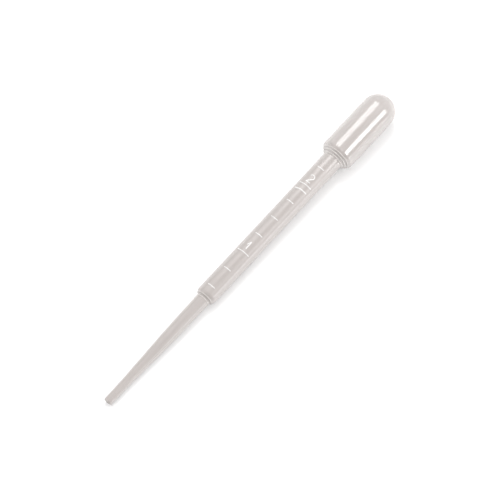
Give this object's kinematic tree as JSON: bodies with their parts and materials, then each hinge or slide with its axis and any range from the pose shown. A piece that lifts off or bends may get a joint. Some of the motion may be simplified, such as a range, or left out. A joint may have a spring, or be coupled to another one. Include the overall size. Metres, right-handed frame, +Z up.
{
  "type": "squeeze-bulb transfer pipette",
  "caption": "Translucent moulded transfer pipette with a tapered stem, graduated barrel and an integral squeeze bulb whose side walls press in to draw and dispense liquid.",
  "frame": {"origin": "on the bench plane, below the middle of the pipette as it lies at rest", "axes": "+X along the length from tip to bulb, +Y across, +Z up; the graduations face up. The pipette's own axis rises about 2.1 degrees towards the bulb, because it rests on its stem's step and on the corner of its bulb's shoulder"},
  "size_m": [0.1552, 0.013, 0.0138],
  "materials": {
    "frosted_polyethylene": "satin translucent low-density polyethylene, natural colour",
    "glossy_polyethylene": "glossy translucent low-density polyethylene, natural colour",
    "moulded_marks": "the same plastic, raised and catching the light white"
  },
  "bodies": {
    "pipette": {"tip": "frosted_polyethylene", "lower_stem": "frosted_polyethylene", "stem_step": "frosted_polyethylene", "step_rings": "frosted_polyethylene", "graduated_barrel": "frosted_polyethylene", "short_graduation_marks": "moulded_marks", "long_graduation_marks": "moulded_marks", "numerals": "moulded_marks", "slanting_line": "moulded_marks", "neck": "glossy_polyethylene", "bulb_shoulder": "glossy_polyethylene", "neck_rings": "glossy_polyethylene", "bulb_top_wall": "glossy_polyethylene", "bulb_bottom_wall": "glossy_polyethylene", "bulb_dome": "glossy_polyethylene", "bulb_end_weld": "glossy_polyethylene"},
    "left_wall": {"left_press_wall": "glossy_polyethylene"},
    "right_wall": {"right_press_wall": "glossy_polyethylene"}
  },
  "joints": [
    {"name": "left_squeeze", "type": "slide", "parent": "pipette", "child": "left_wall", "axis": [0, -1, 0], "range_m": [0, 0.004], "stiffness_N_per_m": 800},
    {"name": "right_squeeze", "type": "slide", "parent": "pipette", "child": "right_wall", "axis": [0, 1, 0], "range_m": [0, 0.004], "stiffness_N_per_m": 800}
  ],
  "couplings": [
    {"joint": "right_squeeze", "follows": "left_squeeze", "ratio": 1}
  ]
}
